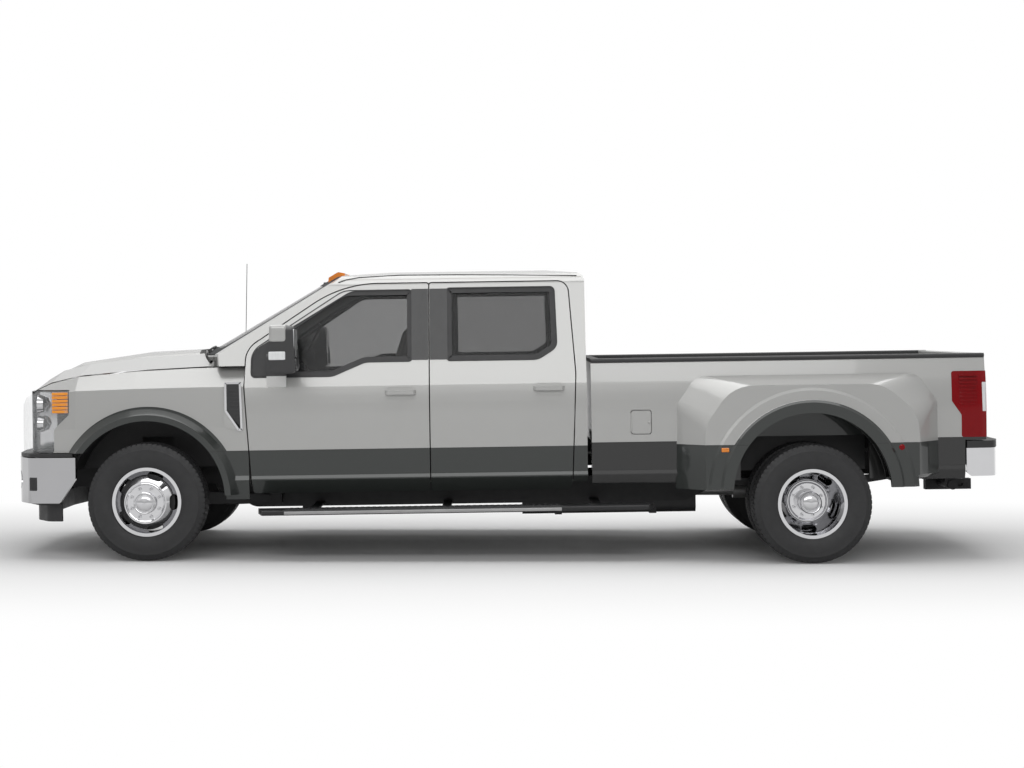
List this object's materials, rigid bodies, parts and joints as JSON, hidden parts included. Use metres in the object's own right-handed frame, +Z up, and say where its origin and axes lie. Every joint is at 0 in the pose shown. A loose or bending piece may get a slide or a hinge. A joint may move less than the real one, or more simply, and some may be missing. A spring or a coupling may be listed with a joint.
{
  "type": "pickup truck",
  "caption": "Crew-cab long-bed pickup truck with twin rear wheels, wide rear fenders, opening doors, hood and tailgate, steered front wheels.",
  "frame": {"origin": "on the ground, midway between the foremost and rearmost points, on the centre plane", "axes": "+X runs from the nose to the tail, +Y to the truck's right, +Z up"},
  "size_m": [6.8044, 2.64, 2.0705],
  "materials": {
    "tyre": "matte",
    "wheel_chrome": "polished",
    "chrome": "polished",
    "chassis_black": "satin",
    "silver_paint": "gloss",
    "grey_paint": "gloss",
    "black_plastic": "matte",
    "glass": "clear",
    "clear_lamp": "gloss",
    "red_lamp": "gloss",
    "amber_lamp": "gloss",
    "seat_fabric": "matte",
    "dash_plastic": "matte",
    "cast_iron": "matte",
    "steel": "satin"
  },
  "bodies": {
    "chassis": {"frame": "chassis_black", "engine": "cast_iron", "front_axle": "chassis_black", "rear_axle": "chassis_black", "suspension": "chassis_black", "fuel_tank": "black_plastic", "exhaust": "steel", "driveshaft": "steel", "bumper_front": "chrome", "valance_front": "black_plastic", "bumper_rear": "chrome", "bumper_step": "black_plastic", "cab": "silver_paint", "cab_glass": "glass", "roof_lamps": "amber_lamp", "fender_front_left": "silver_paint", "fender_front_right": "silver_paint", "wheel_liners": "black_plastic", "grille": "chrome", "headlamps": "clear_lamp", "seats": "seat_fabric", "dashboard": "dash_plastic", "bed": "silver_paint", "fender_rear_left": "silver_paint", "fender_rear_right": "silver_paint", "bed_rail_caps": "black_plastic", "tail_lamps": "red_lamp", "running_boards": "black_plastic", "antenna": "black_plastic", "crossmembers": "chassis_black", "hitch": "chassis_black", "cab_roof": "silver_paint", "cab_back": "silver_paint"},
    "hood": {"hood": "silver_paint"},
    "tailgate": {"tailgate": "silver_paint"},
    "fuel_flap": {"fuel_flap": "silver_paint"},
    "steering_wheel": {"steering_wheel": "dash_plastic"},
    "tie_rod": {"tie_rod": "chassis_black"},
    "door_front_left": {"door_front_left": "silver_paint", "glass_front_left": "glass", "mirror_left": "black_plastic"},
    "door_rear_left": {"door_rear_left": "silver_paint", "glass_rear_left": "glass"},
    "knuckle_left": {"knuckle_left": "chassis_black"},
    "wheel_front_left": {"tyre_front_left": "tyre", "rim_front_left": "wheel_chrome"},
    "wheels_rear_left": {"tyres_rear_left": "tyre", "rims_rear_left": "wheel_chrome"},
    "door_front_right": {"door_front_right": "silver_paint", "glass_front_right": "glass", "mirror_right": "black_plastic"},
    "door_rear_right": {"door_rear_right": "silver_paint", "glass_rear_right": "glass"},
    "knuckle_right": {"knuckle_right": "chassis_black"},
    "wheel_front_right": {"tyre_front_right": "tyre", "rim_front_right": "wheel_chrome"},
    "wheels_rear_right": {"tyres_rear_right": "tyre", "rims_rear_right": "wheel_chrome"}
  },
  "joints": [
    {"name": "steer_left", "type": "hinge", "parent": "chassis", "child": "knuckle_left", "pos_m": [-2.394, -0.825, 0.399], "axis": [0, 0, 1], "range_deg": [-32, 32]},
    {"name": "door_front_left_swing", "type": "hinge", "parent": "chassis", "child": "door_front_left", "pos_m": [-1.68042, -0.994, 1.07475], "axis": [0.0151, 0, -0.9999], "range_deg": [0, 68]},
    {"name": "door_rear_left_swing", "type": "hinge", "parent": "chassis", "child": "door_rear_left", "pos_m": [-0.42856, -0.994, 1.09366], "axis": [0.0151, 0, -0.9999], "range_deg": [0, 68]},
    {"name": "spin_front_left", "type": "hinge", "parent": "knuckle_left", "child": "wheel_front_left", "pos_m": [-2.394, -0.95, 0.399], "axis": [0, 1, 0], "continuous": true},
    {"name": "spin_rear_left", "type": "hinge", "parent": "chassis", "child": "wheels_rear_left", "pos_m": [2.076, -0.951, 0.399], "axis": [0, 1, 0], "continuous": true},
    {"name": "door_front_right_swing", "type": "hinge", "parent": "chassis", "child": "door_front_right", "pos_m": [-1.68042, 0.994, 1.07475], "axis": [-0.0151, 0, 0.9999], "range_deg": [0, 68]},
    {"name": "door_rear_right_swing", "type": "hinge", "parent": "chassis", "child": "door_rear_right", "pos_m": [-0.42856, 0.994, 1.09366], "axis": [-0.0151, 0, 0.9999], "range_deg": [0, 68]},
    {"name": "steer_right", "type": "hinge", "parent": "chassis", "child": "knuckle_right", "pos_m": [-2.394, 0.825, 0.399], "axis": [0, 0, 1], "range_deg": [-32, 32]},
    {"name": "spin_front_right", "type": "hinge", "parent": "knuckle_right", "child": "wheel_front_right", "pos_m": [-2.394, 0.95, 0.399], "axis": [0, 1, 0], "continuous": true},
    {"name": "spin_rear_right", "type": "hinge", "parent": "chassis", "child": "wheels_rear_right", "pos_m": [2.076, 0.951, 0.399], "axis": [0, 1, 0], "continuous": true},
    {"name": "tie_rod_pivot", "type": "hinge", "parent": "knuckle_left", "child": "tie_rod", "pos_m": [-2.244, -0.825, 0.339], "axis": [0, 0, 1], "range_deg": [-32, 32]},
    {"name": "steering_wheel_turn", "type": "hinge", "parent": "chassis", "child": "steering_wheel", "pos_m": [-1.36349, -0.4, 1.21455], "axis": [0.8638, 0, 0.5038], "range_deg": [-520, 520]},
    {"name": "hood_lift", "type": "hinge", "parent": "chassis", "child": "hood", "pos_m": [-1.94569, 0, 1.35578], "axis": [0, 1, 0], "range_deg": [0, 48]},
    {"name": "tailgate_drop", "type": "hinge", "parent": "chassis", "child": "tailgate", "pos_m": [3.23122, 0, 0.87088], "axis": [0, 1, 0], "range_deg": [0, 90]},
    {"name": "fuel_flap_swing", "type": "hinge", "parent": "chassis", "child": "fuel_flap", "pos_m": [0.87628, -1.002, 0.93534], "axis": [0.0151, 0, -0.9999], "range_deg": [0, 95]}
  ],
  "couplings": [
    {"joint": "steer_right", "follows": "steer_left", "ratio": 1},
    {"joint": "tie_rod_pivot", "follows": "steer_left", "ratio": -1},
    {"joint": "steering_wheel_turn", "follows": "steer_left", "ratio": 16}
  ]
}
